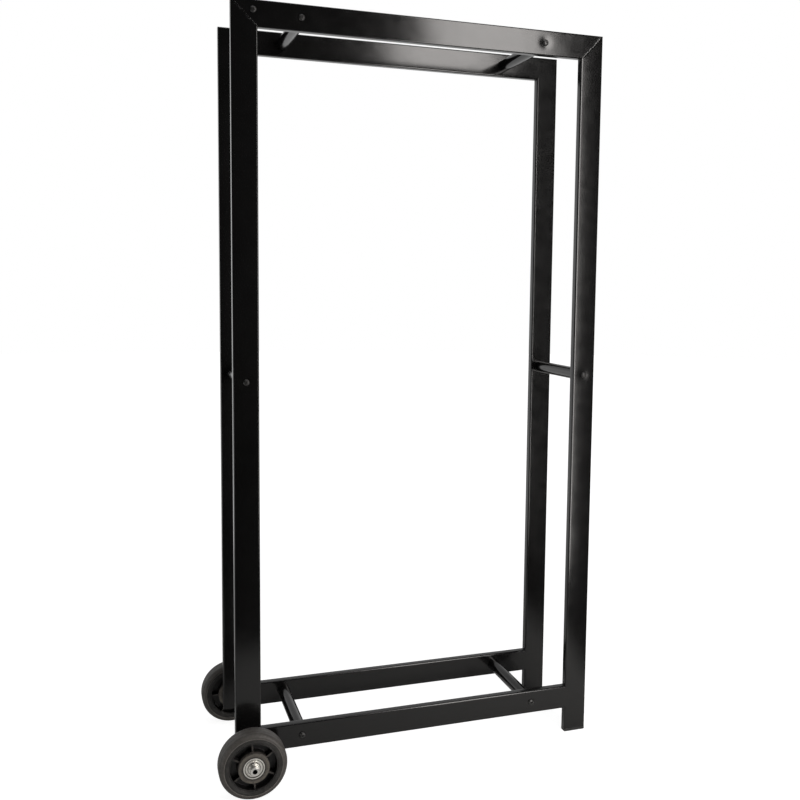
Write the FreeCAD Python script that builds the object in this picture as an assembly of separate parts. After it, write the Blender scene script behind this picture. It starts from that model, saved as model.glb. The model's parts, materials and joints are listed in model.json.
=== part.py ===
import FreeCAD, Part
import math
import os
from FreeCAD import Vector

# Rolling rack of two welded flat-tube frames held apart by round spacers.
# Millimetres. X runs along the width, Y from the front frame to the rear frame, Z up.
# The origin is on the floor, at the centre of the object's outline seen from above.

# Frames
frame_height = 1150.0
frame_width = 587.0
tube_face = 38.0            # wide side of the flat tube, seen from the front
tube_depth = 13.0
tube_wall = 1.5
tube_corner = 2.0
frame_gap = 150.0           # clear distance between the two frames
rail_underside = 42.0       # bottom rails above the floor
mitre_bead_radius = 0.9
cut_margin = 5.0            # how far a cutting shape reaches beyond what it cuts

# Spacers between the frames, with a threaded insert in each end
spacer_diameter = 20.0
spacer_wall = 1.5
insert_length = 15.0
spacer_inset = 101.0        # from a frame's side to the spacers on its rails
mid_spacer_height = 607.0

# Button-head socket screws
screw_diameter = 5.0
screw_length = 25.0
screw_head_diameter = 9.5
screw_head_height = 2.75
screw_head_rim = 0.7        # height of the straight edge under the dome
screw_head_flat = 4.2       # diameter of the flat on top of the dome
screw_dome_bulge = 0.44
screw_socket = 3.0          # across the flats
screw_socket_depth = 1.6
screw_hole = 5.5
thread_clearance = 0.05
corner_screw_length = 8.0
corner_screw_from_side = 31.6
corner_screw_from_top = 14.4

# Plastic end caps in the right feet
cap_height = 5.0
cap_plug_length = 14.0
cap_plug_wall = 2.0
cap_plug_clearance = 0.1
cap_edge = 0.8

# Wheels: distances are measured outwards from the outer face of a left post
wheel_diameter = 100.0
tyre_width = 30.0
tyre_shoulder = 7.0
tyre_edge = 0.8
wheel_middle = 41.5         # middle plane of the wheel
rim_radius = 36.0
rim_thickness = 2.2
rim_setback = 1.0           # rim edges inside the tyre's side faces
key_height = 3.0            # ridge on the rim that the tyre locks over
key_width = 7.0
hub_length = 35.0
boss_radius = 23.3
boss_draft = 0.5
rim_draft = 0.3
hub_rounding = 1.0
rim_edge = 0.6
web_thickness = 5.0
rib_count = 6
rib_thickness = 2.4
rib_setback = 2.2           # rib edges inside the rim edges
rib_root = 1.0              # how far a rib runs into the boss
front_rib_angle = 93.0      # one rib's direction, anticlockwise from +X seen from the front
rear_rib_angle = 0.0

# Ball bearings of the wheels
bearing_bore = 12.0
bearing_outside = 32.0
bearing_width = 10.0
bearing_pitch_radius = 11.0
bearing_edge = 0.6
ball_count = 7
ball_radius = 2.97
groove_radius = 3.02
outer_ring_inner_radius = 13.2
inner_ring_outer_radius = 8.9
shield_thickness = 0.5
shield_setback = 0.7
shield_inner_radius = 9.2
hub_passage_radius = 13.0

# Axles
axle_bolt_diameter = 8.0
axle_head_diameter = 13.0
axle_head_height = 8.0
axle_socket = 6.0
axle_socket_depth = 4.5
axle_head_edge = 0.8
axle_tip_edge = 0.8
axle_bolt_beyond_nut = 2.0
axle_hole = 8.5
sleeve_bore = 8.2
distance_tube_diameter = 16.0
stand_off_diameter = 17.0
washer_diameter = 16.0
washer_bore = 8.4
washer_thickness = 1.6
washer_edge = 0.3
nut_across_flats = 13.0
nut_height = 6.8
turning_clearance = 0.05

# Derived places
axle_height = wheel_diameter / 2
wheel_overhang = wheel_diameter / 2 - tube_face / 2
left_side = -(frame_width + wheel_overhang) / 2 + wheel_overhang
right_side = left_side + frame_width
axle_x = left_side + tube_face / 2
frame_y = {"front": -(frame_gap + tube_depth) / 2, "rear": (frame_gap + tube_depth) / 2}
outward = {"front": -1, "rear": 1}
outer_face_y = {side: frame_y[side] + outward[side] * tube_depth / 2 for side in frame_y}
inner_face_y = {side: frame_y[side] - outward[side] * tube_depth / 2 for side in frame_y}
bottom_rail_z = rail_underside + tube_face / 2
top_rail_z = frame_height - tube_face / 2
hub_inner = wheel_middle - hub_length / 2
hub_outer = wheel_middle + hub_length / 2

y_axis = Vector(0, 1, 0)
z_axis = Vector(0, 0, 1)
origin = Vector(0, 0, 0)

spacer_places = {
    "top_left": (left_side + spacer_inset, top_rail_z),
    "top_right": (right_side - spacer_inset, top_rail_z),
    "mid_left": (left_side + tube_face / 2, mid_spacer_height),
    "mid_right": (right_side - tube_face / 2, mid_spacer_height),
    "bottom_left": (left_side + spacer_inset, bottom_rail_z),
    "bottom_right": (right_side - spacer_inset, bottom_rail_z),
}


# Shared shapes

def rounded_bar(size_x, size_y, corner, length):
    """A bar along +Z from z = 0, centred in X and Y, with rounded long edges."""
    bar = Part.makeBox(size_x, size_y, length, Vector(-size_x / 2, -size_y / 2, 0))
    long_edges = [edge for edge in bar.Edges if abs(edge.tangentAt(edge.FirstParameter).z) > 0.9]
    return bar.makeFillet(corner, long_edges)


def flat_tube(length):
    """The frames' rectangular tube along +Z, with its wide side facing Y."""
    outside = rounded_bar(tube_face, tube_depth, tube_corner, length)
    inside = rounded_bar(tube_face - 2 * tube_wall, tube_depth - 2 * tube_wall,
                         tube_corner - tube_wall, length)
    return outside.cut(inside)


def prism_xz(points, y_low, y_high):
    """A prism along Y whose section is a polygon of (x, z) points."""
    corners = [Vector(x, y_low, z) for x, z in points]
    face = Part.Face(Part.makePolygon(corners + corners[:1]))
    return face.extrude(Vector(0, y_high - y_low, 0))


def cylinder_y(diameter, x, z, y_from, y_to):
    """A cylinder along Y between two Y values."""
    start = Vector(x, min(y_from, y_to), z)
    return Part.makeCylinder(diameter / 2, abs(y_to - y_from), start, y_axis)


def hexagon_y(across_flats, x, z, y_from, y_to):
    """A hexagonal prism along Y between two Y values."""
    radius = across_flats / math.sqrt(3)
    angles = [math.radians(30 + 60 * step) for step in range(6)]
    points = [(x + radius * math.cos(a), z + radius * math.sin(a)) for a in angles]
    return prism_xz(points, min(y_from, y_to), max(y_from, y_to))


def corner_arc(before, corner, after, radius):
    """The start, middle and end of the arc that rounds one corner of an outline."""
    to_before = (before - corner).normalize()
    to_after = (after - corner).normalize()
    half_angle = to_before.getAngle(to_after) / 2
    reach = radius / math.tan(half_angle)
    bisector = (to_before + to_after).normalize()
    centre = corner + bisector * (radius / math.sin(half_angle))
    return corner + to_before * reach, centre - bisector * radius, corner + to_after * reach


def turned(profile, side):
    """A solid of revolution about a wheel's axle.

    The profile is a closed list of (distance, radius, rounding) corners, where distance is
    measured outwards from the post's outer face.
    """
    corners = [Vector(radius, outward[side] * distance, 0) for distance, radius, rounding in profile]
    edges = []
    ends = []
    for index, (distance, radius, rounding) in enumerate(profile):
        corner = corners[index]
        if rounding == 0:
            ends.append((corner, corner))
            continue
        before = corners[index - 1]
        after = corners[(index + 1) % len(corners)]
        start, middle, end = corner_arc(before, corner, after, rounding)
        ends.append((start, end))
        edges.append(Part.Arc(start, middle, end).toShape())
    for index in range(len(ends)):
        leave = ends[index][1]
        arrive = ends[(index + 1) % len(ends)][0]
        edges.append(Part.makeLine(leave, arrive))
    wire = Part.Wire(Part.__sortEdges__(edges))
    solid = Part.Face(wire).revolve(origin, y_axis, 360)
    if solid.Volume < 0:
        solid.reverse()
    solid.translate(Vector(axle_x, outer_face_y[side], axle_height))
    return solid


def ring(inner_radius, outer_radius, start, end, side, edge=0.0):
    """A plain turned ring between two distances from the post."""
    return turned([(start, inner_radius, 0), (start, outer_radius, edge),
                   (end, outer_radius, edge), (end, inner_radius, 0)], side)


def wheel_y(side, distance):
    """The Y value of a distance measured outwards from the post."""
    return outer_face_y[side] + outward[side] * distance


# Frame tubes

def mitre_wedge(side_x, inward, above):
    """The space above or below the 45 degree joint at one top corner of a frame."""
    over = cut_margin
    outer_point = (side_x - inward * over, frame_height + over)
    inner_point = (side_x + inward * (tube_face + over), frame_height - tube_face - over)
    third_point = (inner_point[0], outer_point[1]) if above else (outer_point[0], inner_point[1])
    half_depth = frame_gap / 2 + tube_depth + over
    return prism_xz([outer_point, inner_point, third_point], -half_depth, half_depth)


def screw_holes(side, places, diameter=screw_hole):
    """Cylinders that pass through both walls of a frame at the given places."""
    start = outer_face_y[side] + outward[side] * cut_margin
    end = inner_face_y[side] - outward[side] * cut_margin
    return [cylinder_y(diameter, x, z, start, end) for x, z in places]


def left_post(side):
    post = flat_tube(frame_height - rail_underside)
    post.translate(Vector(left_side + tube_face / 2, frame_y[side], rail_underside))
    post = post.cut(mitre_wedge(left_side, 1, above=True))
    holes = screw_holes(side, [spacer_places["mid_left"]])
    holes.append(cylinder_y(axle_hole, axle_x, axle_height, wheel_y(side, cut_margin),
                            wheel_y(side, -2 * tube_wall)))
    return post.cut(holes)


def right_post(side):
    post = flat_tube(frame_height - cap_height)
    post.translate(Vector(right_side - tube_face / 2, frame_y[side], cap_height))
    post = post.cut(mitre_wedge(right_side, -1, above=True))
    return post.cut(screw_holes(side, [spacer_places["mid_right"]]))


def rail(side, length, centre_x, centre_z):
    bar = flat_tube(length)
    bar.rotate(origin, y_axis, 90)
    bar.translate(Vector(centre_x - length / 2, frame_y[side], centre_z))
    return bar


def corner_screw_place():
    return left_side + corner_screw_from_side, frame_height - corner_screw_from_top


def top_rail(side):
    middle = (left_side + right_side) / 2
    bar = rail(side, frame_width, middle, top_rail_z)
    bar = bar.cut(mitre_wedge(left_side, 1, above=False))
    bar = bar.cut(mitre_wedge(right_side, -1, above=False))
    bar = bar.cut(screw_holes(side, [spacer_places["top_left"], spacer_places["top_right"]]))
    if side == "front":
        x, z = corner_screw_place()
        face = outer_face_y[side]
        hole_diameter = screw_diameter + 2 * thread_clearance
        bar = bar.cut(cylinder_y(hole_diameter, x, z, face - cut_margin, face + 2 * tube_wall))
    return bar


def bottom_rail(side):
    middle = (left_side + right_side) / 2
    bar = rail(side, frame_width - 2 * tube_face, middle, bottom_rail_z)
    return bar.cut(screw_holes(side, [spacer_places["bottom_left"], spacer_places["bottom_right"]]))


# Welds

def mitre_bead(side, side_x, inward):
    """A half-round bead on the outer face, along a top corner's 45 degree joint."""
    length = (tube_face - 2 * tube_corner) * math.sqrt(2)
    start = Vector(side_x + inward * tube_corner, outer_face_y[side], frame_height - tube_corner)
    run = Vector(inward, 0, -1)
    bead = Part.makeCylinder(mitre_bead_radius, length, start, run)
    inside = Part.makeBox(frame_width, tube_depth, frame_height)
    inside_y = min(outer_face_y[side], inner_face_y[side])
    inside.translate(Vector(left_side, inside_y, 0))
    return bead.cut(inside)


def groove_fill(side, face_y, post_edge_x, inward):
    """Weld metal, ground flush, that fills the groove between a post and a bottom rail's end."""
    y_inside = face_y + math.copysign(tube_corner, frame_y[side] - face_y)
    height = tube_face - 2 * tube_corner
    x_low = min(post_edge_x, post_edge_x - inward * tube_corner)
    low = Vector(x_low, min(face_y, y_inside), rail_underside + tube_corner)
    block = Part.makeBox(tube_corner, tube_corner, height, low)
    rounding_axis = Vector(post_edge_x - inward * tube_corner, y_inside, 0)
    return block.cut(Part.makeCylinder(tube_corner, frame_height, rounding_axis, z_axis))


def frame_welds(side):
    beads = [mitre_bead(side, left_side, 1), mitre_bead(side, right_side, -1)]
    for face_y in (outer_face_y[side], inner_face_y[side]):
        beads.append(groove_fill(side, face_y, left_side + tube_face, 1))
        beads.append(groove_fill(side, face_y, right_side - tube_face, -1))
    return Part.makeCompound(beads)


# Spacers and their screws

def spacer(place):
    x, z = spacer_places[place]
    tube = cylinder_y(spacer_diameter, x, z, inner_face_y["front"], inner_face_y["rear"])
    return tube.cut(cylinder_y(spacer_diameter - 2 * spacer_wall, x, z,
                               inner_face_y["front"], inner_face_y["rear"]))


def spacer_inserts(side):
    end = inner_face_y[side]
    inner_end = end - outward[side] * insert_length
    plugs = []
    for x, z in spacer_places.values():
        plug = cylinder_y(spacer_diameter - 2 * spacer_wall, x, z, end, inner_end)
        plugs.append(plug.cut(cylinder_y(screw_diameter + 2 * thread_clearance, x, z, end, inner_end)))
    return Part.makeCompound(plugs)


def button_screw(side, x, z, length):
    """A button-head screw driven inwards from a frame's outer face."""
    low = Vector(screw_head_diameter / 2, 0, 0)
    rim = Vector(screw_head_diameter / 2, screw_head_rim, 0)
    crown = Vector(screw_head_flat / 2, screw_head_height, 0)
    across = (rim - crown).normalize()
    dome_middle = (rim + crown) / 2 + Vector(-across.y, across.x, 0) * screw_dome_bulge
    top = Vector(0, screw_head_height, 0)
    outline = Part.Wire([
        Part.makeLine(origin, low), Part.makeLine(low, rim), Part.Arc(rim, dome_middle, crown).toShape(),
        Part.makeLine(crown, top), Part.makeLine(top, origin),
    ])
    head = Part.Face(outline).revolve(origin, y_axis, 360)
    head = head.fuse(Part.makeCylinder(screw_diameter / 2, length, origin, Vector(0, -1, 0)))
    socket_bottom = screw_head_height - screw_socket_depth
    head = head.cut(hexagon_y(screw_socket, 0, 0, socket_bottom, screw_head_height + cut_margin))
    if outward[side] < 0:
        head.rotate(origin, z_axis, 180)
    head.translate(Vector(x, outer_face_y[side], z))
    return head


def spacer_screws(side):
    return Part.makeCompound([button_screw(side, x, z, screw_length) for x, z in spacer_places.values()])


def corner_screw():
    x, z = corner_screw_place()
    return button_screw("front", x, z, corner_screw_length)


# Feet

def foot_cap(side):
    """A cap flush with the tube's outside, with a hollow plug that goes up inside the tube."""
    flange = rounded_bar(tube_face, tube_depth, tube_corner, cap_height)
    bottom_edges = [edge for edge in flange.Edges if edge.BoundBox.ZMax < 0.01]
    flange = flange.makeChamfer(cap_edge, bottom_edges)
    plug_x = tube_face - 2 * tube_wall - 2 * cap_plug_clearance
    plug_y = tube_depth - 2 * tube_wall - 2 * cap_plug_clearance
    plug = rounded_bar(plug_x, plug_y, tube_corner - tube_wall, cap_plug_length)
    hollow = Part.makeBox(plug_x - 2 * cap_plug_wall, plug_y - 2 * cap_plug_wall, cap_plug_length,
                          Vector(-plug_x / 2 + cap_plug_wall, -plug_y / 2 + cap_plug_wall, 0))
    plug = plug.cut(hollow)
    plug.translate(Vector(0, 0, cap_height))
    cap = flange.fuse(plug).removeSplitter()
    cap.translate(Vector(right_side - tube_face / 2, frame_y[side], 0))
    return cap


# Wheels

def tyre(side):
    inner = wheel_middle - tyre_width / 2
    outer = wheel_middle + tyre_width / 2
    tread = wheel_diameter / 2
    key_top = rim_radius + key_height
    return turned([
        (inner, rim_radius, tyre_edge), (inner, tread, tyre_shoulder),
        (outer, tread, tyre_shoulder), (outer, rim_radius, tyre_edge),
        (wheel_middle + key_width / 2, rim_radius, 0), (wheel_middle + key_width / 2, key_top, 0),
        (wheel_middle - key_width / 2, key_top, 0), (wheel_middle - key_width / 2, rim_radius, 0),
    ], side)


def hub_body(side):
    """Boss, web and rim with the bearing seats, turned as one outline."""
    rim_reach = tyre_width / 2 - rim_setback
    inside = rim_radius - rim_thickness
    boss_end = boss_radius - boss_draft
    seat = bearing_outside / 2
    key_top = rim_radius + key_height
    half_key = key_width / 2
    half_web = web_thickness / 2
    inner_half = [
        (-hub_length / 2, seat, 0), (-hub_length / 2, boss_end, hub_rounding),
        (-half_web, boss_radius, hub_rounding), (-half_web, inside, hub_rounding),
        (-rim_reach, inside + rim_draft, rim_edge), (-rim_reach, rim_radius, rim_edge),
        (-half_key, rim_radius, 0), (-half_key, key_top, 0),
    ]
    outer_half = [(-distance, radius, rounding) for distance, radius, rounding in reversed(inner_half)]
    shoulder = hub_length / 2 - bearing_width
    bore = [
        (shoulder, seat, 0), (shoulder, hub_passage_radius, 0),
        (-shoulder, hub_passage_radius, 0), (-shoulder, seat, 0),
    ]
    outline = [(wheel_middle + distance, radius, rounding)
               for distance, radius, rounding in inner_half + outer_half + bore]
    return turned(outline, side)


def hub_rib(side, angle):
    """One radial rib, from the boss to the rim on both sides of the web."""
    reach = tyre_width / 2 - rim_setback - rib_setback
    start = boss_radius - rib_root
    end = rim_radius - rim_thickness / 2
    rib = Part.makeBox(end - start, 2 * reach, rib_thickness, Vector(start, -reach, -rib_thickness / 2))
    rib.rotate(origin, y_axis, -angle)
    rib.translate(Vector(axle_x, wheel_y(side, wheel_middle), axle_height))
    return rib


def hub(side, first_angle):
    body = hub_body(side)
    ribs = [hub_rib(side, first_angle + step * 360 / rib_count) for step in range(rib_count)]
    return body.fuse(ribs).removeSplitter()


def bearing_starts():
    """The distance from the post at which each of a wheel's two bearings begins."""
    return hub_inner, hub_outer - bearing_width


def groove(side, start):
    """The ring-shaped ball track of one bearing."""
    track = Part.makeTorus(bearing_pitch_radius, groove_radius, origin, y_axis)
    middle = wheel_y(side, start + bearing_width / 2)
    track.translate(Vector(axle_x, middle, axle_height))
    return track


def bearing_outer_rings(side):
    rings = []
    for start in bearing_starts():
        body = ring(outer_ring_inner_radius, bearing_outside / 2, start, start + bearing_width, side,
                    bearing_edge)
        rings.append(body.cut(groove(side, start)))
    return Part.makeCompound(rings)


def bearing_inner_rings(side):
    rings = []
    for start in bearing_starts():
        body = ring(bearing_bore / 2, inner_ring_outer_radius, start, start + bearing_width, side)
        rings.append(body.cut(groove(side, start)))
    return Part.makeCompound(rings)


def bearing_shields(side):
    """Thin pressed discs that close both faces of each bearing."""
    shields = []
    for start in bearing_starts():
        for near in (start + shield_setback, start + bearing_width - shield_setback - shield_thickness):
            shields.append(ring(shield_inner_radius, outer_ring_inner_radius, near,
                                near + shield_thickness, side))
    return Part.makeCompound(shields)


def bearing_balls(side):
    balls = []
    for start in bearing_starts():
        y = wheel_y(side, start + bearing_width / 2)
        for step in range(ball_count):
            angle = 2 * math.pi * step / ball_count
            x = axle_x + bearing_pitch_radius * math.cos(angle)
            z = axle_height + bearing_pitch_radius * math.sin(angle)
            balls.append(Part.makeSphere(ball_radius, Vector(x, y, z)))
    return Part.makeCompound(balls)


# Axles

def axle_sleeve(side):
    """The tube on the bolt that both bearings sit on."""
    return ring(sleeve_bore / 2, bearing_bore / 2 - turning_clearance, 0, hub_outer, side)


def stand_off(side):
    """The tube that holds the wheel away from the post."""
    return ring(bearing_bore / 2, stand_off_diameter / 2, 0, hub_inner, side)


def distance_tube(side):
    """The tube that keeps a wheel's two bearings apart."""
    return ring(bearing_bore / 2, distance_tube_diameter / 2, hub_inner + bearing_width,
                hub_outer - bearing_width, side)


def axle_washer(side):
    """The washer under the bolt's head."""
    return ring(washer_bore / 2, washer_diameter / 2, hub_outer, hub_outer + washer_thickness,
                side, washer_edge)


def axle_nut(side):
    """A hexagonal weld nut inside the post, against the wall that carries the wheel."""
    y_start = wheel_y(side, -tube_wall)
    y_end = wheel_y(side, -tube_wall - nut_height)
    body = hexagon_y(nut_across_flats, axle_x, axle_height, y_start, y_end)
    return body.cut(cylinder_y(axle_bolt_diameter + 2 * thread_clearance, axle_x, axle_height,
                               y_start, y_end))


def axle_bolt(side):
    """A socket-head bolt from outside the wheel into the nut in the post."""
    seat = hub_outer + washer_thickness
    tip = -tube_wall - nut_height - axle_bolt_beyond_nut
    shank = axle_bolt_diameter / 2
    head = axle_head_diameter / 2
    bolt = turned([
        (seat + axle_head_height, 0, 0), (seat + axle_head_height, head, axle_head_edge),
        (seat, head, 0), (seat, shank, 0), (tip, shank, axle_tip_edge), (tip, 0, 0),
    ], side)
    socket = hexagon_y(axle_socket, axle_x, axle_height,
                       wheel_y(side, seat + axle_head_height - axle_socket_depth),
                       wheel_y(side, seat + axle_head_height + cut_margin))
    return bolt.cut(socket)


def all_parts():
    parts = {}
    for side in ("front", "rear"):
        parts[side + "_left_post"] = left_post(side)
        parts[side + "_right_post"] = right_post(side)
        parts[side + "_top_rail"] = top_rail(side)
        parts[side + "_bottom_rail"] = bottom_rail(side)
        parts[side + "_frame_welds"] = frame_welds(side)
        parts[side + "_spacer_inserts"] = spacer_inserts(side)
        parts[side + "_spacer_screws"] = spacer_screws(side)
        parts[side + "_foot_cap"] = foot_cap(side)
        parts[side + "_wheel_tyre"] = tyre(side)
        parts[side + "_wheel_hub"] = hub(side, front_rib_angle if side == "front" else rear_rib_angle)
        parts[side + "_wheel_bearing_outer_rings"] = bearing_outer_rings(side)
        parts[side + "_wheel_bearing_shields"] = bearing_shields(side)
        parts[side + "_wheel_bearing_balls"] = bearing_balls(side)
        parts[side + "_axle_bearing_inner_rings"] = bearing_inner_rings(side)
        parts[side + "_axle_sleeve"] = axle_sleeve(side)
        parts[side + "_axle_stand_off"] = stand_off(side)
        parts[side + "_axle_distance_tube"] = distance_tube(side)
        parts[side + "_axle_washer"] = axle_washer(side)
        parts[side + "_axle_nut"] = axle_nut(side)
        parts[side + "_axle_bolt"] = axle_bolt(side)
    for place in spacer_places:
        parts[place + "_spacer"] = spacer(place)
    parts["corner_screw"] = corner_screw()
    return parts


os.makedirs("parts", exist_ok=True)
for name, shape in sorted(all_parts().items()):
    solids = shape.Solids
    print(name, len(solids), "solids", round(shape.Volume), "mm3", "valid" if shape.isValid() else "INVALID")
    shape.exportStep(os.path.join("parts", name + ".step"))
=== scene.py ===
import json
import math
import random

import bmesh
import bpy
import numpy as np
from mathutils import Matrix, Vector

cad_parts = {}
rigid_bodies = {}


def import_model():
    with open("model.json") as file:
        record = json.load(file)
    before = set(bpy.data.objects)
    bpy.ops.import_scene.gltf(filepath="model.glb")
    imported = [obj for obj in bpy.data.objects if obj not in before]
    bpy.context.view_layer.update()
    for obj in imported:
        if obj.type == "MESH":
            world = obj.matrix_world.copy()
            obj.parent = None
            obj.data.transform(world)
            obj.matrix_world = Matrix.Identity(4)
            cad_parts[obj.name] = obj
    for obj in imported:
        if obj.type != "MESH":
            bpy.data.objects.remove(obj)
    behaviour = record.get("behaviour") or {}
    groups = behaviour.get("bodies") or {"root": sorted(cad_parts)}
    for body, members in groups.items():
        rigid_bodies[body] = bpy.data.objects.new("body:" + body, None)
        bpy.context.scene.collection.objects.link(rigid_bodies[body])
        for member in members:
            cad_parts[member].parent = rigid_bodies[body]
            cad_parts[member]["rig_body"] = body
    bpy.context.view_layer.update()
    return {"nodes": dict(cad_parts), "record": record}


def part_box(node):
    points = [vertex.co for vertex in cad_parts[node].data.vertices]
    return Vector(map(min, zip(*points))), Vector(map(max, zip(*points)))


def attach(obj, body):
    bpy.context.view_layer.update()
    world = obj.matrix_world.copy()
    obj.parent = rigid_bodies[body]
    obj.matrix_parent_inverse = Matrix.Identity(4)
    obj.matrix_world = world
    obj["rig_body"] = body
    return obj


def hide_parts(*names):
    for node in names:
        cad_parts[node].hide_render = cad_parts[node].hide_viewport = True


# Looks of the rolling two-frame rack, in metres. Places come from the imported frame.

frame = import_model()
nodes = frame["nodes"]
random.seed(11)

SIDES = ("front", "rear")
OUTWARD = {"front": -1, "rear": 1}

# Flat tubes
CORNER = 0.002              # outer radius of a tube's long edges
WALL = 0.0015
CROWN = 0.0002              # a rolled tube's wide face is lower at its edges than in its middle
RIGHT_POST_CROWN = {"front": 0.0003, "rear": 0.00002}   # as the reflections on them look
BUTT_FADE = 0.020           # the crown fades out over this length at a rail's square end
DIMPLE_DEPTH = 0.00060      # the wall is pulled in under each screw head
DIMPLE_RADIUS = 0.0053
FACE_STEPS = 24             # mesh steps across a wide face, across a narrow side and round an edge
SIDE_STEPS = 4
CORNER_STEPS = 6
COARSE_STEP = 0.050         # mesh steps along a tube, and those within reach of a screw
FINE_STEP = 0.0015
FINE_REACH = 0.024

# Weld beads along the mitres
BEAD_INSET = 0.55 * CORNER  # from the tube's outer edges to the bead's ends
BEAD_HALF_WIDTH = 0.0023
BEAD_HEIGHT = 0.0012
BEAD_PITCH = 0.0042         # from one ripple to the next
BEAD_WANDER = 0.0008        # how far a ripple may lie beside the line
BEAD_UNEVENNESS = 0.2       # how much a ripple's size may differ, as a share of it
RIPPLE_HEIGHT = 0.18        # how much height and width change along a ripple, as shares of them
RIPPLE_WIDTH = 0.1
RIPPLE_SHAPE = 0.8
RIPPLE_LAG = 0.0005         # a ripple bulges forward in the middle of the bead
BEAD_STEP = 0.0003
BEAD_ARC_STEPS = 12
BEAD_SINK = 0.0006          # the bead's underside lies this deep and has this share of its width
BEAD_UNDERSIDE = 0.9
BEAD_TAPER = 1.5 * BEAD_HALF_WIDTH              # the bead thins out over this length at its ends
BEAD_END = 0.04             # square of the size at its very end
LEFT_FULLNESS = 0.55        # the left corner's bead is ground down more than the right one's

# Ground welds that fill the grooves at the bottom rails' ends
PATCH_OVER_POST = 1.25 * CORNER
PATCH_OVER_RAIL = 0.4 * CORNER
PATCH_DEPTH = 0.8 * CORNER
PATCH_SWELL = 0.00005
PATCH_WAVES = ((0.4, 0.0011), (0.3, 0.0037))    # (share of the swell, length along the weld)
PATCH_STEPS_ACROSS = 10
PATCH_STEPS_ALONG = 40

# Tyres
KEY_HEIGHT = 0.003          # the ridge of the rim that the tyre locks over
KEY_HALF_WIDTH = 0.0035
TREAD_DROP = 0.00015        # the tread is lower at its shoulders than in its middle
TREAD_LINES = (0.0022, 0.0048, 0.0074)          # moulded lines, from the wheel's middle plane
LINE_DEPTH = 0.00014
LINE_HALF_WIDTH = 0.00035
LINE_SHAPE = ((-1.0, 0.0), (-0.35, 1.0), (0.35, 1.0), (1.0, 0.0))
SHOULDER = 0.007
SHOULDER_EASE = 0.0006
SHOULDER_STEPS = 10
LIP_WIDTH = 0.0010          # the raised edge where the shoulder meets the side face
LIP_HEIGHT = 0.0006
LIP_SHAPE = ((0.0, 0.4), (0.3, 0.8), (1.0, 1.0))    # (share of its height, share of its width)
LIP_FOOT = 0.0004
SIDE_RIBS = (0.0404, 0.0390)                    # radii of the fine ribs on the side face
SIDE_RIB_HEIGHT = 0.00022
SIDE_RIB_SHAPE = ((0.0005, 0.0), (0.0002, 1.0), (-0.0002, 1.0), (-0.0005, 0.0))
# (distance in from the side face, height over the bore)
BORE_EDGE = ((0.0, 0.0016), (0.0001, 0.0009), (0.0004, 0.0003), (0.0009, 0.0))
TYRE_STEPS = 160


# Places from the frame

def middle(node):
    low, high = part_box(node)
    return (low + high) / 2


tube_low, tube_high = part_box("front_left_post")
tube_face = tube_high.x - tube_low.x
tube_depth = tube_high.y - tube_low.y
left_x = tube_low.x
right_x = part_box("front_right_post")[1].x
inner_left_x = left_x + tube_face
inner_right_x = right_x - tube_face
top_z = tube_high.z
left_post_bottom = tube_low.z
right_post_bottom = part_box("front_right_post")[0].z
rail_low, rail_high = (p.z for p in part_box("front_bottom_rail"))
frame_y = {side: sum(p.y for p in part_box(side + "_left_post")) / 2 for side in SIDES}
axle = {side: middle(side + "_wheel_tyre") for side in SIDES}


# Mesh helpers

def new_piece(name, points, faces, smooth_angle=35.0):
    """A mesh object made from lists of points and faces."""
    mesh = bpy.data.meshes.new(name)
    mesh.from_pydata([tuple(p) for p in points], [], faces)
    mesh.update()
    mesh.shade_smooth()
    mesh.set_sharp_from_angle(angle=math.radians(smooth_angle))
    piece = bpy.data.objects.new(name, mesh)
    bpy.context.scene.collection.objects.link(piece)
    return piece


def skin(rows):
    """Faces between rows of point numbers, each row the same length and closed on itself."""
    faces = []
    for one, two in zip(rows, rows[1:]):
        for k in range(len(one)):
            n = (k + 1) % len(one)
            faces.append((one[k], one[n], two[n], two[k]))
    return faces


def capped_skin(rows):
    """The same, with both ends closed."""
    return skin(rows) + [tuple(rows[0]), tuple(reversed(rows[-1]))]


def mend_normals(piece):
    """Turns every face outwards."""
    bm = bmesh.new()
    bm.from_mesh(piece.data)
    bmesh.ops.recalc_face_normals(bm, faces=bm.faces)
    bm.to_mesh(piece.data)
    bm.free()


def dress(piece, node, slot):
    """Gives a new piece its body, its slot and the CAD node it stands for."""
    piece.data.materials.append(materials[slot])
    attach(piece, nodes[node]["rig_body"])
    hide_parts(node)


# Flat tubes

def section(half_face, half_depth, corner):
    """Outline of a rounded rectangle as (across, depth) points, anticlockwise."""
    flat_u = half_face - corner
    flat_v = half_depth - corner
    turns = ((1, -1), (1, 1), (-1, 1), (-1, -1))
    points = []
    for k, (su, sv) in enumerate(turns):
        start = 90 * k - 90
        for step in range(CORNER_STEPS + 1):
            a = math.radians(start + 90 * step / CORNER_STEPS)
            points.append((su * flat_u + corner * math.cos(a), sv * flat_v + corner * math.sin(a)))
        end_u, end_v = points[-1]
        next_su, next_sv = turns[(k + 1) % len(turns)]
        next_u = next_su * flat_u + corner * math.cos(a)
        next_v = next_sv * flat_v + corner * math.sin(a)
        steps = FACE_STEPS if k % 2 else SIDE_STEPS
        for step in range(1, steps):
            t = step / steps
            points.append((end_u + (next_u - end_u) * t, end_v + (next_v - end_v) * t))
    return points


def stations(low, high, fine_places):
    """Places along a tube: close together near the screws, far apart elsewhere."""
    places = list(np.arange(low, high, COARSE_STEP)) + [high]
    for centre in fine_places:
        places = [p for p in places if abs(p - centre) > FINE_REACH]
        places += list(np.arange(centre - FINE_REACH, centre + FINE_REACH + FINE_STEP / 2, FINE_STEP))
    places = sorted(p for p in places if low <= p <= high)
    kept = places[:1]
    for p in places[1:]:
        if p - kept[-1] > FINE_STEP / 2:
            kept.append(p)
    return kept


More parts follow.
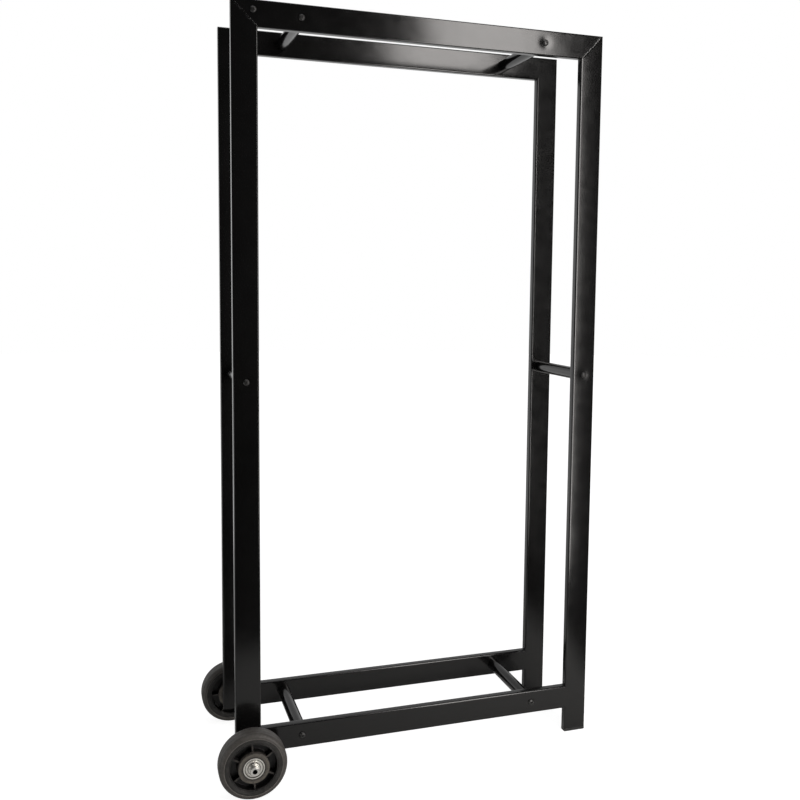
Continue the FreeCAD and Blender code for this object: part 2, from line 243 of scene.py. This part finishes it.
def flat_tube(name, side, upright, centre, ends, screws, square_ends=(), crown_height=CROWN):
    """One hollow flat tube of a frame, with crowned faces and a dimple under each screw.

    centre is the middle of the wide face across the tube, ends are two functions that give
    each end's place along the tube for a place across it, and screws are (across, along).
    """
    half_face = tube_face / 2
    half_depth = tube_depth / 2
    outside = section(half_face, half_depth, CORNER)
    inside = section(half_face - WALL, half_depth - WALL, CORNER - WALL)
    across = np.array([u for u, v in outside])
    depth = np.array([v for u, v in outside])
    off_middle = np.clip(np.abs(across) / (half_face - CORNER), 0, 1)
    face_sign = np.sign(depth) * (np.abs(depth) > half_depth - CORNER)
    starts = np.array([ends[0](centre + u) for u in across])
    stops = np.array([ends[1](centre + u) for u in across])
    between = stations(starts.max() + CORNER, stops.min() - CORNER, [w for u, w in screws])
    points = []
    rows = []
    for w in [starts] + [np.full(len(across), w) for w in between] + [stops]:
        crown = crown_height * off_middle ** 2
        for end_place in square_ends:
            fade = np.clip(np.abs(w - end_place) / BUTT_FADE, 0, 1)
            crown = crown * fade * fade * (3 - 2 * fade)
        v = depth - face_sign * crown
        for su, sw in screws:
            r2 = (centre + across - su) ** 2 + (w - sw) ** 2
            dip = DIMPLE_DEPTH * np.exp(-r2 / (2 * DIMPLE_RADIUS ** 2))
            v = v - np.where(face_sign == OUTWARD[side], OUTWARD[side] * dip, 0)
        y = frame_y[side] + v
        rows.append(list(range(len(points), len(points) + len(across))))
        for k in range(len(across)):
            u = centre + across[k]
            points.append((u, y[k], w[k]) if upright else (w[k], y[k], u))
    inner_rows = []
    for end in ends:
        inner_rows.append(list(range(len(points), len(points) + len(inside))))
        for u, v in inside:
            w = end(centre + u)
            y = frame_y[side] + v
            points.append((centre + u, y, w) if upright else (w, y, centre + u))
    faces = skin(rows) + skin(inner_rows)
    faces += skin([rows[0], inner_rows[0]]) + skin([rows[-1], inner_rows[1]])
    piece = new_piece(name, points, faces)
    mend_normals(piece)
    return piece


def mitre_height(edge_x, inward):
    """The top corner's 45 degree plane, as the height for an X."""
    return lambda x: top_z - inward * (x - edge_x)


def mitre_place(edge_x, inward):
    """The same plane, as the X for a height."""
    return lambda z: edge_x + inward * (top_z - z)


def square_end(value):
    """An end at the same place all across the tube."""
    return lambda across: value


# Welds

def weld_bead(start, run, out, surface, length, fullness):
    """Points and faces of one rippled weld bead along run, standing out of a surface.

    surface gives how far the metal lies below the start's level at a place along the bead.
    """
    across = run.cross(out).normalized()
    count = int(length / BEAD_STEP)
    wander = [random.uniform(-1, 1) for _ in range(int(length / BEAD_PITCH) + 3)]
    points = []
    rows = []
    for i in range(count + 1):
        s = length * i / count
        k = int(s / BEAD_PITCH)
        t = s / BEAD_PITCH - k
        drift = wander[k] * (1 - t) + wander[k + 1] * t
        size = fullness * (1 + BEAD_UNEVENNESS * drift)
        ripple = 1 - RIPPLE_HEIGHT + RIPPLE_HEIGHT * math.sin(math.pi * t) ** RIPPLE_SHAPE
        taper = min(1.0, math.sqrt(min(s, length - s) / BEAD_TAPER + BEAD_END))
        height = BEAD_HEIGHT * size * ripple * taper
        width = BEAD_HALF_WIDTH * size * (1 - RIPPLE_WIDTH + RIPPLE_WIDTH * ripple) * taper
        shift = BEAD_WANDER * drift * taper
        level = surface(s)
        first = len(points)
        for j in range(BEAD_ARC_STEPS + 1):
            a = math.pi * j / BEAD_ARC_STEPS
            along = s + RIPPLE_LAG * math.sin(a) * taper
            points.append(start + run * along + across * (width * math.cos(a) + shift)
                          + out * (height * math.sin(a) - level))
        for sign in (-1, 1):
            points.append(start + run * s + across * (sign * width * BEAD_UNDERSIDE + shift)
                          - out * (BEAD_SINK + level))
        rows.append(list(range(first, len(points))))
    return points, capped_skin(rows)


def butt_patch(side, face_sign, post_edge, inward, crown_height):
    """Points and faces of the ground weld on one face between a post and the bottom rail."""
    level = frame_y[side] + face_sign * tube_depth / 2
    low_z = rail_low + CORNER
    high_z = rail_high - CORNER
    from_x = post_edge - inward * PATCH_OVER_POST
    to_x = post_edge + inward * PATCH_OVER_RAIL
    post_middle = post_edge - inward * tube_face / 2
    points = []
    rows = []
    for i in range(PATCH_STEPS_ALONG + 1):
        z = low_z + (high_z - low_z) * i / PATCH_STEPS_ALONG
        waves = 1 + sum(share * math.sin(z / reach) for share, reach in PATCH_WAVES)
        first = len(points)
        for j in range(PATCH_STEPS_ACROSS + 1):
            t = j / PATCH_STEPS_ACROSS
            x = from_x + (to_x - from_x) * t
            off_middle = abs(x - post_middle) / (tube_face / 2 - CORNER)
            drop = crown_height * min(1.0, off_middle) ** 2 * (1 - t)
            swell = PATCH_SWELL * math.sin(math.pi * t) * waves
            points.append(Vector((x, level - face_sign * (drop - swell), z)))
        for x in (to_x, from_x):
            points.append(Vector((x, level - face_sign * PATCH_DEPTH, z)))
        rows.append(list(range(first, len(points))))
    return points, capped_skin(rows)


def frame_welds(side):
    """All welds of one frame as one piece."""
    out = Vector((0, OUTWARD[side], 0))
    face_y = frame_y[side] + out.y * tube_depth / 2
    length = (tube_face - 2 * BEAD_INSET) * math.sqrt(2)
    half = length / 2

    def crowned(s):
        return CROWN * min(1.0, abs(s - half) / half) ** 2

    parts = []
    for edge_x, inward, fullness in ((left_x, 1, LEFT_FULLNESS), (right_x, -1, 1.0)):
        start = Vector((edge_x + inward * BEAD_INSET, face_y, top_z - BEAD_INSET))
        run = Vector((inward, 0, -1)).normalized()
        parts.append(weld_bead(start, run, out, crowned, length, fullness))
    for face_sign in (1, -1):
        parts.append(butt_patch(side, face_sign, inner_left_x, 1, CROWN))
        parts.append(butt_patch(side, face_sign, inner_right_x, -1, RIGHT_POST_CROWN[side]))
    points = []
    faces = []
    for part_points, part_faces in parts:
        faces += [tuple(len(points) + k for k in face) for face in part_faces]
        points += part_points
    piece = new_piece(side + "_weld_beads", points, faces, smooth_angle=60)
    mend_normals(piece)
    dress(piece, side + "_frame_welds", "black_powder_coat")


# Tyres

def tyre_half_profile(radius, half_width, bore):
    """Half of a tyre's outline, from the middle of its tread to the middle of its bore.

    Points are (place along the axle from the wheel's middle plane, radius).
    """
    end = half_width - SHOULDER
    face = half_width - LIP_HEIGHT
    low = radius - SHOULDER

    def tread(y):
        return radius - TREAD_DROP * (y / end) ** 2

    points = [(0.0, tread(0.0))]
    for line in TREAD_LINES:
        for step, depth in LINE_SHAPE:
            y = line + step * LINE_HALF_WIDTH
            points.append((y, tread(y) - depth * LINE_DEPTH))
    points.append((end - SHOULDER_EASE, tread(end - SHOULDER_EASE)))
    for step in range(SHOULDER_STEPS + 1):
        a = math.pi / 2 * (1 - step / SHOULDER_STEPS)
        points.append((end + (half_width - end) * math.cos(a),
                       low + (tread(end) - low) * math.sin(a)))
    for down, inwards in LIP_SHAPE:
        points.append((half_width - down * LIP_HEIGHT, low - inwards * LIP_WIDTH))
    points.append((face, low - LIP_WIDTH - LIP_FOOT))
    for rib in SIDE_RIBS:
        for step, height in SIDE_RIB_SHAPE:
            points.append((face + height * SIDE_RIB_HEIGHT, rib + step))
    for inwards, height in BORE_EDGE:
        points.append((face - inwards, bore + height))
    points += [(KEY_HALF_WIDTH, bore), (KEY_HALF_WIDTH, bore + KEY_HEIGHT), (0.0, bore + KEY_HEIGHT)]
    return points


def tyre(side):
    """The tyre as a turned ring with fine tread lines, a raised lip and side ribs."""
    low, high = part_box(side + "_wheel_tyre")
    half_width = (high.y - low.y) / 2
    radius = (high.z - low.z) / 2
    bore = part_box(side + "_wheel_hub")[1].z - axle[side].z - KEY_HEIGHT
    half = tyre_half_profile(radius, half_width, bore)
    outline = half + [(-y, r) for y, r in reversed(half[1:-1])]
    points = []
    rows = []
    for k in range(TYRE_STEPS):
        a = 2 * math.pi * k / TYRE_STEPS
        rows.append(list(range(len(points), len(points) + len(outline))))
        points += [axle[side] + Vector((r * math.cos(a), y, r * math.sin(a))) for y, r in outline]
    piece = new_piece(side + "_tyre", points, skin(rows + rows[:1]), smooth_angle=28)
    mend_normals(piece)
    dress(piece, side + "_wheel_tyre", "tyre_rubber")


# Materials. Each palette is (dark, light), and each span is (from, to).

# Numbers of the Mix node's inputs A and B and of its output, by its kind of data
MIX_SOCKETS = {"FLOAT": (2, 3, 0), "RGBA": (6, 7, 2)}
MOST_NOISE = (0.3, 0.7)     # nearly all values of a noise lie here

POWDER = ((0.0040, 0.0040, 0.0041), (0.0058, 0.0057, 0.0056))
BLACK_OXIDE = ((0.030, 0.030, 0.030), (0.075, 0.074, 0.073))
CAP = ((0.012, 0.012, 0.012), (0.021, 0.021, 0.021))

RUBBER = ((0.0185, 0.0176, 0.0163), (0.0305, 0.0286, 0.0262))
# Tread colour: partly dust, partly painted light, since the tread faces the light and the side face does not
TREAD_DUST_AND_LIGHT = ((0.053, 0.0486, 0.0442), (0.099, 0.0905, 0.082))
TREAD_DUST_AND_LIGHT_RADIUS = (0.0420, 0.0440)      # the dust and the painted light on the tread set in over these radii
STREAK = (0.032, 0.0296, 0.0270)
STREAK_RADIUS = (0.0430, 0.0450)
STREAK_FREQUENCY = 330.0            # of the streaks round the tread, per metre along the axle
# Painted highlight: a light line round the lip where the shoulder meets the side face
LIP_HIGHLIGHT = (0.160, 0.148, 0.135)
LIP_HIGHLIGHT_RADIUS = 0.0427
LIP_HIGHLIGHT_FADE = (0.0002, 0.0008)         # the painted highlight fades out over this distance from the lip's radius

# Painted shade: the hub's deeper parts are coloured near-black, its proud faces brown-grey
HUB_SHADE = ((0.0030, 0.0029, 0.0028), (0.0062, 0.0059, 0.0056))
HUB_PROUD = ((0.050, 0.0445, 0.0395), (0.108, 0.0955, 0.083))
PROUD_REACH = (0.0112, 0.0122)      # from the wheel's middle plane
RIB_RADIUS = (0.0290, 0.0335)       # painted shade takes over along the ribs
DARK_RING = (0.0164, 0.0176)        # next to the bearing
WORN_COLOUR = (0.150, 0.136, 0.108)
WORN_START = (0.0180, 0.0205)       # the boss's worn rim
WORN_END = (0.0212, 0.0222)

ZINC = ((0.74, 0.73, 0.69), (0.96, 0.95, 0.91))
# Painted shade inside the bolt head's hex socket
SOCKET_SHADE = (0.012, 0.012, 0.016)
SOCKET_RADIUS = (0.0035, 0.0041)
SOCKET_REACH = (0.0268, 0.0272)     # the bolt head's end, from the wheel's middle plane
SOCKET_RIM = (0.0034, 0.0036)

BEARING = ((0.72, 0.70, 0.655), (0.96, 0.94, 0.89))
# Painted shade in the thin gaps between the bearing's rings
GAP_SHADE = (0.05, 0.043, 0.035)
SHADED_GAPS = ((0.0131, 0.00035), (0.0091, 0.0003), (0.0158, 0.0002))   # (radius, half width)


class Nodes:
    """Short ways to add nodes to one tree."""

    def __init__(self, tree):
        self.tree = tree

    def give(self, socket, value):
        """Links a socket to another one, or sets its value. Colours have three parts."""
        if isinstance(value, bpy.types.NodeSocket):
            self.tree.links.new(value, socket)
        elif socket.type == "RGBA":
            socket.default_value = (*value, 1)
        else:
            socket.default_value = value

    def node(self, kind, **values):
        """A new node with its inputs given by name."""
        made = self.tree.nodes.new(kind)
        for name, value in values.items():
            self.give(made.inputs[name.replace("_", " ")], value)
        return made

    def join(self, kind, *values):
        """A new node with its first inputs given in order."""
        made = self.tree.nodes.new(kind)
        for socket, value in zip(made.inputs, values):
            self.give(socket, value)
        return made

    def calc(self, operation, one, two=0.0):
        made = self.join("ShaderNodeMath", one, two)
        made.operation = operation
        return made.outputs[0]

    def remap(self, value, span, to=(0, 1), smooth=False):
        made = self.node("ShaderNodeMapRange", Value=value, From_Min=span[0], From_Max=span[1],
                         To_Min=to[0], To_Max=to[1])
        if smooth:
            made.interpolation_type = "SMOOTHSTEP"
        return made.outputs["Result"]

    def mix(self, kind, factor, one, two):
        made = self.tree.nodes.new("ShaderNodeMix")
        made.data_type = kind
        first, second, result = MIX_SOCKETS[kind]
        self.give(made.inputs[0], factor)
        self.give(made.inputs[first], one)
        self.give(made.inputs[second], two)
        return made.outputs[result]

    def by_ray(self, for_light, for_camera):
        """One shader for light and reflections, and another for what the camera sees directly."""
        path = self.node("ShaderNodeLightPath")
        mixed = self.join("ShaderNodeMixShader", path.outputs["Is Camera Ray"], for_light, for_camera)
        return mixed.outputs[0]


class Shader(Nodes):
    """A procedural material around one Principled shader, in the row frame's coordinates."""

    def __init__(self, name, colour, roughness, metallic=0.0):
        self.material = bpy.data.materials.new(name)
        self.material.use_nodes = True
        super().__init__(self.material.node_tree)
        self.surface = next(n for n in self.tree.nodes if n.type == "BSDF_PRINCIPLED")
        self.give(self.surface.inputs["Base Color"], colour)
        self.give(self.surface.inputs["Roughness"], roughness)
        self.give(self.surface.inputs["Metallic"], metallic)
        self.place = self.node("ShaderNodeTexCoord").outputs["Object"]
        self.normal = None

    def noise(self, scale, detail=2.0, roughness=0.5, place=None):
        made = self.node("ShaderNodeTexNoise", Vector=place or self.place, Scale=scale, Detail=detail,
                         Roughness=roughness)
        return made.outputs["Fac"]

    def vary_colour(self, value, dark, light, span=MOST_NOISE):
        colour = self.mix("RGBA", self.remap(value, span), dark, light)
        self.give(self.surface.inputs["Base Color"], colour)
        return colour

    def cover(self, mask, under, over):
        """Puts one colour over another where the mask is 1."""
        return self.vary_colour(mask, under, over, span=(0, 1))

    def vary_roughness(self, value, smooth, rough):
        self.give(self.surface.inputs["Roughness"], self.remap(value, MOST_NOISE, (smooth, rough)))

    def bump(self, height, distance):
        made = self.node("ShaderNodeBump", Height=height, Distance=distance, Strength=1.0)
        if self.normal is not None:
            self.give(made.inputs["Normal"], self.normal)
        self.normal = made.outputs["Normal"]
        self.give(self.surface.inputs["Normal"], self.normal)

    def by_side(self, value_of):
        """The front wheel's value or the rear wheel's, by the half that a point is in."""
        y = self.node("ShaderNodeSeparateXYZ", Vector=self.place).outputs["Y"]
        front, rear = (value_of(side) for side in SIDES)
        return self.mix("FLOAT", self.calc("GREATER_THAN", y, 0.0), front, rear)

    def from_axle(self, side):
        """A point's place from the middle of a wheel."""
        shift = self.join("ShaderNodeVectorMath", self.place, axle[side])
        shift.operation = "SUBTRACT"
        return self.node("ShaderNodeSeparateXYZ", Vector=shift.outputs[0]).outputs

    def axle_radius(self):
        """Distance from the wheel's axle line."""
        def radius(side):
            x, z = (self.from_axle(side)[axis] for axis in ("X", "Z"))
            squares = self.calc("ADD", self.calc("MULTIPLY", x, x), self.calc("MULTIPLY", z, z))
            return self.calc("SQRT", squares)
        return self.by_side(radius)

    def axle_reach(self):
        """Distance from the wheel's middle plane."""
        return self.by_side(lambda side: self.calc("ABSOLUTE", self.from_axle(side)["Y"]))

    def away_from(self, value, centre):
        return self.calc("ABSOLUTE", self.calc("SUBTRACT", value, centre))


def powder_coat():
    """Satin black with the fine orange peel of a powder coat."""
    made = Shader("black_powder_coat", (0.005, 0.005, 0.005), 0.15)
    made.vary_colour(made.noise(9, 3), *POWDER)
    made.vary_roughness(made.noise(60, 3), 0.135, 0.175)
    made.bump(made.noise(420, 2), 0.000010)
    made.bump(made.noise(1700, 2), 0.0000025)
    return made.material


def black_screw():
    made = Shader("black_screw", (0.02, 0.02, 0.02), 0.34, metallic=0.6)
    made.vary_colour(made.noise(700, 3), *BLACK_OXIDE)
    made.vary_roughness(made.noise(900, 3), 0.28, 0.42)
    made.bump(made.noise(2500, 2), 0.000012)
    return made.material


def cap_plastic():
    made = Shader("cap_plastic", (0.008, 0.008, 0.008), 0.42)
    made.vary_colour(made.noise(160, 3), *CAP)
    made.vary_roughness(made.noise(300, 3), 0.36, 0.5)
    made.bump(made.noise(2200, 3), 0.00003)
    return made.material


def tyre_rubber():
    """Dark warm rubber, lighter on the tread from dust and painted light, with a painted highlight along the
    lip.
    """
    made = Shader("tyre_rubber", (0.03, 0.028, 0.026), 0.6)
    radius = made.axle_radius()
    mottle = made.noise(110, 5, 0.62)
    clean = made.vary_colour(mottle, *RUBBER)
    # Lighter tread colour: dust together with painted light
    dusty_and_lit = made.vary_colour(made.noise(260, 5, 0.7), *TREAD_DUST_AND_LIGHT)
    along = made.calc("MULTIPLY", made.axle_reach(), STREAK_FREQUENCY)
    bands = made.noise(1.0, 2, place=made.node("ShaderNodeCombineXYZ", X=along).outputs[0])
    streaks = made.calc("MULTIPLY", made.remap(bands, (0.42, 0.60), (0, 0.55)),
                        made.remap(radius, STREAK_RADIUS))
    dusty_and_lit = made.cover(streaks, dusty_and_lit, STREAK)
    dust_and_light_mask = made.calc("ADD", made.remap(radius, TREAD_DUST_AND_LIGHT_RADIUS), made.remap(mottle, (0.35, 0.65), (-0.18, 0.18)))
    coat = made.cover(dust_and_light_mask, clean, dusty_and_lit)
    # Painted highlight along the lip, patchy with the mottle
    lip_highlight = made.calc("MULTIPLY", made.remap(made.away_from(radius, LIP_HIGHLIGHT_RADIUS), LIP_HIGHLIGHT_FADE, (1, 0)),
                    made.remap(mottle, (0.2, 0.55), (0.45, 1)))
    made.cover(lip_highlight, coat, LIP_HIGHLIGHT)
    made.vary_roughness(made.noise(240, 4), 0.46, 0.62)
    made.bump(made.noise(1500, 4, 0.6), 0.00004)
    made.bump(made.noise(260, 3), 0.00006)
    return made.material


def hub_plastic():
    """Moulded plastic, brown-grey on the boss and the ribs' edges and painted near-black as shade deeper in.
    """
    made = Shader("hub_plastic", (0.02, 0.019, 0.018), 0.42)
    reach = made.axle_reach()
    radius = made.axle_radius()
    mottle = made.noise(240, 5, 0.65)
    shaded_deep = made.vary_colour(mottle, *HUB_SHADE)
    proud = made.vary_colour(made.noise(520, 4, 0.7), *HUB_PROUD)
    # 1 on the proud faces, 0 where the painted shade lies deeper in
    edge = made.calc("ADD", made.remap(reach, PROUD_REACH), made.remap(mottle, MOST_NOISE, (-0.15, 0.15)))
    edge = made.calc("MULTIPLY", edge, made.remap(radius, RIB_RADIUS, (1, 0.12)))
    edge = made.calc("MULTIPLY", edge, made.remap(radius, DARK_RING, (0.2, 1)))
    plastic = made.cover(edge, shaded_deep, proud)
    rim = made.calc("MULTIPLY", made.remap(radius, WORN_START), made.remap(radius, WORN_END, (1, 0)))
    patchy = made.remap(mottle, (0.35, 0.6), (0.2, 0.9))
    rim = made.calc("MULTIPLY", made.calc("MULTIPLY", rim, edge), patchy)
    made.cover(rim, plastic, WORN_COLOUR)
    made.vary_roughness(made.noise(320, 3), 0.38, 0.52)
    made.bump(made.noise(1300, 3), 0.00003)
    return made.material


def zinc_steel():
    """Bright zinc plate with painted shade inside the bolt's socket."""
    made = Shader("zinc_steel", (0.62, 0.61, 0.58), 0.3, metallic=1.0)
    radius = made.axle_radius()
    plate = made.vary_colour(made.noise(420, 4, 0.6), *ZINC)
    inside = made.remap(made.axle_reach(), SOCKET_REACH, (1, 0))
    rim = made.remap(radius, SOCKET_RIM, (1, 0))
    # Painted shade inside the socket and at its rim
    socket_shade = made.calc("MULTIPLY", made.remap(radius, SOCKET_RADIUS, (1, 0)), made.calc("MAXIMUM", inside, rim))
    made.cover(socket_shade, plate, SOCKET_SHADE)
    made.vary_roughness(made.noise(800, 4), 0.28, 0.48)
    made.bump(made.noise(1800, 3), 0.00003)
    return made.material


def bearing_steel():
    """Ground rings round a pressed shield, with painted shade in the gaps between them."""
    made = Shader("bearing_steel", (0.58, 0.57, 0.54), 0.3, metallic=1.0)
    radius = made.axle_radius()
    steel = made.vary_colour(made.noise(500, 4, 0.6), *BEARING)
    for edge, half_width in SHADED_GAPS:
        # Painted shade in each gap
        gap_shade = made.remap(made.away_from(radius, edge), (half_width, 2 * half_width), (1, 0))
        steel = made.cover(gap_shade, steel, GAP_SHADE)
    made.vary_roughness(made.noise(900, 3), 0.30, 0.50)
    made.bump(made.noise(2400, 3), 0.00002)
    return made.material


for plain in list(bpy.data.materials):
    bpy.data.materials.remove(plain)
materials = {made.name: made for made in (powder_coat(), black_screw(), cap_plastic(), tyre_rubber(),
                                          hub_plastic(), zinc_steel(), bearing_steel())}

slot_of = {part["node"]: part["material_slot"] for part in frame["record"]["subparts"]}
for name, piece in nodes.items():
    piece.data.materials.clear()
    piece.data.materials.append(materials[slot_of[name]])


# Frames and tyres

def post(side, hand, centre, ends, crown_height):
    """One upright tube, with the dimple of its middle spacer's screw."""
    screw = middle("mid_" + hand + "_spacer")
    tube = flat_tube(side + "_" + hand + "_tube", side, True, centre, ends, [(screw.x, screw.z)],
                     crown_height=crown_height)
    dress(tube, side + "_" + hand + "_post", "black_powder_coat")


def rail(side, level, centre, ends, square_ends):
    """One level tube, with the dimples of its two spacers' screws."""
    spacers = [middle(level + "_" + hand + "_spacer") for hand in ("left", "right")]
    tube = flat_tube(side + "_" + level + "_tube", side, False, centre, ends,
                     [(p.z, p.x) for p in spacers], square_ends)
    dress(tube, side + "_" + level + "_rail", "black_powder_coat")


for side in SIDES:
    post(side, "left", left_x + tube_face / 2,
         (square_end(left_post_bottom), mitre_height(left_x, 1)), CROWN)
    post(side, "right", right_x - tube_face / 2,
         (square_end(right_post_bottom), mitre_height(right_x, -1)), RIGHT_POST_CROWN[side])
    rail(side, "top", top_z - tube_face / 2, (mitre_place(left_x, 1), mitre_place(right_x, -1)), ())
    rail(side, "bottom", (rail_low + rail_high) / 2,
         (square_end(inner_left_x), square_end(inner_right_x)), (inner_left_x, inner_right_x))
    frame_welds(side)
    tyre(side)


# Studio. Spans are in metres, except BEHIND and RAISED, which are parts of a direction.

FLOOR_RADIUS = 9.0
FLOOR_RINGS = 24
FLOOR_STEPS = 64
FLOOR_COLOURS = ((0.02, 0.02, 0.02), (0.80, 0.80, 0.79))    # bare floor and paper
PAPER_EDGE = -0.60          # the paper on the floor ends here, in front of the rack
PAPER_SIDE = 0.45           # and here, to its right
EDGE_BLUR = 0.05
PAPER_WIDENS = (-0.2, 0.2)  # the side edge is gone behind this span
SWEEP_RISE = (0.3, 1.6)     # behind the rack the paper glows like a lit backdrop
SWEEP_GLOW = (0.0, 0.60)
SEEN_COLOUR = (0.45, 0.45, 0.45)
SEEN_FADE = (0.4, 2.2)      # the camera sees the floor go over to plain white with distance
SEEN_GLOW = (0.88, 1.05)

WHITE = (1, 1, 1)
BEHIND = (-0.05, 0.55)      # the surround is dark in front of the rack and light behind it
BEHIND_GLOW = (0.02, 0.90)
RAISED = (0.05, 0.50)       # and dimmer above than at its horizon
RAISED_GLOW = (1.0, 0.50)


def white_paper():
    """Paper that lights the rack up to its edges, and that the camera sees evenly bright."""
    material = bpy.data.materials.new("white_paper")
    material.use_nodes = True
    made = Nodes(material.node_tree)
    made.tree.nodes.clear()
    place = made.node("ShaderNodeTexCoord").outputs["Object"]
    axes = made.node("ShaderNodeSeparateXYZ", Vector=place).outputs
    x, y = axes["X"], axes["Y"]
    before = made.remap(y, (PAPER_EDGE - EDGE_BLUR, PAPER_EDGE + EDGE_BLUR))
    beside = made.remap(x, (PAPER_SIDE + EDGE_BLUR, PAPER_SIDE - EDGE_BLUR))
    covered = made.calc("MULTIPLY", before, made.calc("MAXIMUM", beside, made.remap(y, PAPER_WIDENS)))
    lit = made.node("ShaderNodeBsdfDiffuse", Color=made.mix("RGBA", covered, *FLOOR_COLOURS))
    sweep = made.node("ShaderNodeEmission", Strength=made.remap(y, SWEEP_RISE, SWEEP_GLOW, smooth=True))
    seen = made.node("ShaderNodeBsdfDiffuse", Color=SEEN_COLOUR)
    distance = made.join("ShaderNodeVectorMath", place)
    distance.operation = "LENGTH"
    glow = made.node("ShaderNodeEmission",
                     Strength=made.remap(distance.outputs["Value"], SEEN_FADE, SEEN_GLOW, smooth=True))
    for_light = made.join("ShaderNodeAddShader", lit.outputs[0], sweep.outputs[0])
    for_camera = made.join("ShaderNodeAddShader", seen.outputs[0], glow.outputs[0])
    made.node("ShaderNodeOutputMaterial", Surface=made.by_ray(for_light.outputs[0], for_camera.outputs[0]))
    return material


def studio_floor():
    """A round floor in rings that are closer together near the rack."""
    points = [(0, 0, 0)]
    rows = []
    for ring in range(1, FLOOR_RINGS + 1):
        r = FLOOR_RADIUS * (ring / FLOOR_RINGS) ** 2
        rows.append(list(range(len(points), len(points) + FLOOR_STEPS)))
        for k in range(FLOOR_STEPS):
            a = 2 * math.pi * k / FLOOR_STEPS
            points.append((r * math.cos(a), r * math.sin(a), 0))
    inner = rows[0]
    faces = [(0, inner[k], inner[(k + 1) % FLOOR_STEPS]) for k in range(FLOOR_STEPS)]
    floor = new_piece("studio_floor", points, faces + skin(rows))
    floor.data.materials.append(white_paper())


def studio_world():
    """A surround that the camera sees as white and the rack reflects as a partly dark room."""
    world = bpy.data.worlds.new("studio")
    bpy.context.scene.world = world
    world.use_nodes = True
    made = Nodes(world.node_tree)
    made.tree.nodes.clear()
    place = made.node("ShaderNodeTexCoord").outputs["Generated"]
    axes = made.node("ShaderNodeSeparateXYZ", Vector=place).outputs
    glow = made.calc("MULTIPLY", made.remap(axes["Y"], BEHIND, BEHIND_GLOW, smooth=True),
                     made.remap(axes["Z"], RAISED, RAISED_GLOW, smooth=True))
    room = made.node("ShaderNodeBackground", Color=WHITE, Strength=glow)
    seen = made.node("ShaderNodeBackground", Color=WHITE, Strength=1.0)
    made.node("ShaderNodeOutputWorld", Surface=made.by_ray(room.outputs[0], seen.outputs[0]))


def softbox(name, place, target, width, height, radiance, colour=WHITE):
    """A soft rectangular light that shows in reflections and not to the camera."""
    data = bpy.data.lights.new(name, "AREA")
    data.shape = "RECTANGLE"
    data.size = width
    data.size_y = height
    data.energy = radiance * math.pi * width * height
    data.color = colour
    light = bpy.data.objects.new(name, data)
    light.location = place
    light.rotation_euler = (Vector(target) - Vector(place)).to_track_quat("-Z", "Y").to_euler()
    light.visible_camera = False
    bpy.context.scene.collection.objects.link(light)


studio_floor()
studio_world()
softbox("strip_light", place=(0.484, -1.0, 0.90), target=(0.484, 0.0, 0.90),
        width=0.3375, height=1.80, radiance=9.0, colour=(1.0, 0.965, 0.94))
softbox("left_light", place=(-1.30, -0.45, 0.28), target=(-0.26, -0.13, 0.05),
        width=0.60, height=0.50, radiance=2.2)
softbox("top_light", place=(-0.2, -0.1, 2.6), target=(-0.1, 0.0, 0.4),
        width=1.4, height=1.4, radiance=1.6)


# Camera, with its angles in radians and its sensor and lens in millimetres

CAMERA_PLACE = (-0.44214, -1.45230, 0.75117)
CAMERA_YAW = 0.3257
CAMERA_PITCH = -0.0902
CAMERA_ROLL = 0.0114
CAMERA_SENSOR = 36.0
CAMERA_LENS = 42.006
CAMERA_SHIFT_X = -0.0340
CAMERA_SHIFT_Y = -0.0380
CAMERA_NEAR = 0.05

camera_data = bpy.data.cameras.new("camera")
camera_data.sensor_width = CAMERA_SENSOR
camera_data.lens = CAMERA_LENS
camera_data.shift_x = CAMERA_SHIFT_X
camera_data.shift_y = CAMERA_SHIFT_Y
camera_data.clip_start = CAMERA_NEAR
camera = bpy.data.objects.new("camera", camera_data)
forward = Vector((math.sin(CAMERA_YAW) * math.cos(CAMERA_PITCH),
                  math.cos(CAMERA_YAW) * math.cos(CAMERA_PITCH),
                  math.sin(CAMERA_PITCH)))
level_right = Vector((math.cos(CAMERA_YAW), -math.sin(CAMERA_YAW), 0))
level_up = level_right.cross(forward)
right = level_right * math.cos(CAMERA_ROLL) + level_up * math.sin(CAMERA_ROLL)
up = level_up * math.cos(CAMERA_ROLL) - level_right * math.sin(CAMERA_ROLL)
camera.matrix_world = Matrix((
    (right.x, up.x, -forward.x, CAMERA_PLACE[0]),
    (right.y, up.y, -forward.y, CAMERA_PLACE[1]),
    (right.z, up.z, -forward.z, CAMERA_PLACE[2]),
    (0, 0, 0, 1)))
bpy.context.scene.collection.objects.link(camera)
bpy.context.scene.camera = camera
bpy.context.scene.view_settings.view_transform = "Standard"
